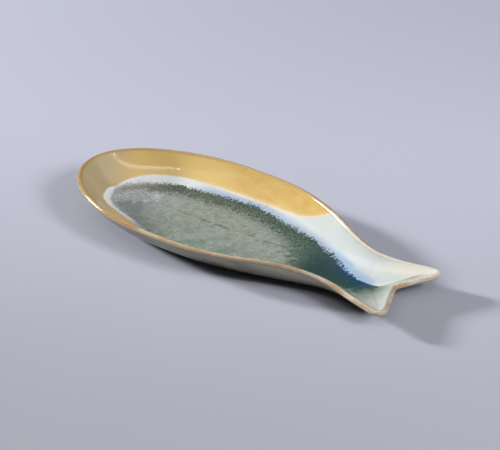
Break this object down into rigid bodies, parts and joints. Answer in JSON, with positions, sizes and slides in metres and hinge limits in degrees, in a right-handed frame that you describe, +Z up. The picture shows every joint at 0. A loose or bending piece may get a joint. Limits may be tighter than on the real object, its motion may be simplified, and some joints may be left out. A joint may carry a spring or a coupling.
{
  "type": "fish shaped serving platter",
  "caption": "Shallow fish-shaped stoneware serving platter with a raised rim, forked tail and reactive glaze in ochre, white and green.",
  "frame": {"origin": "under the middle of the platter's box, on the plane that the foot ring stands on", "axes": "+X from the nose towards the tail, +Y towards the side whose wall is ochre, +Z up"},
  "size_m": [0.3996, 0.1734, 0.0345],
  "materials": {
    "bare_clay": "matte",
    "rim_glaze": "gloss",
    "ochre_glaze": "gloss",
    "white_glaze": "gloss",
    "green_glaze": "gloss",
    "outside_glaze": "gloss"
  },
  "bodies": {
    "root": {"clay_body": "bare_clay", "foot_ring": "bare_clay", "rim_glaze": "rim_glaze", "ochre_glaze": "ochre_glaze", "white_glaze": "white_glaze", "green_glaze": "green_glaze", "outside_glaze": "outside_glaze"}
  },
  "joints": []
}
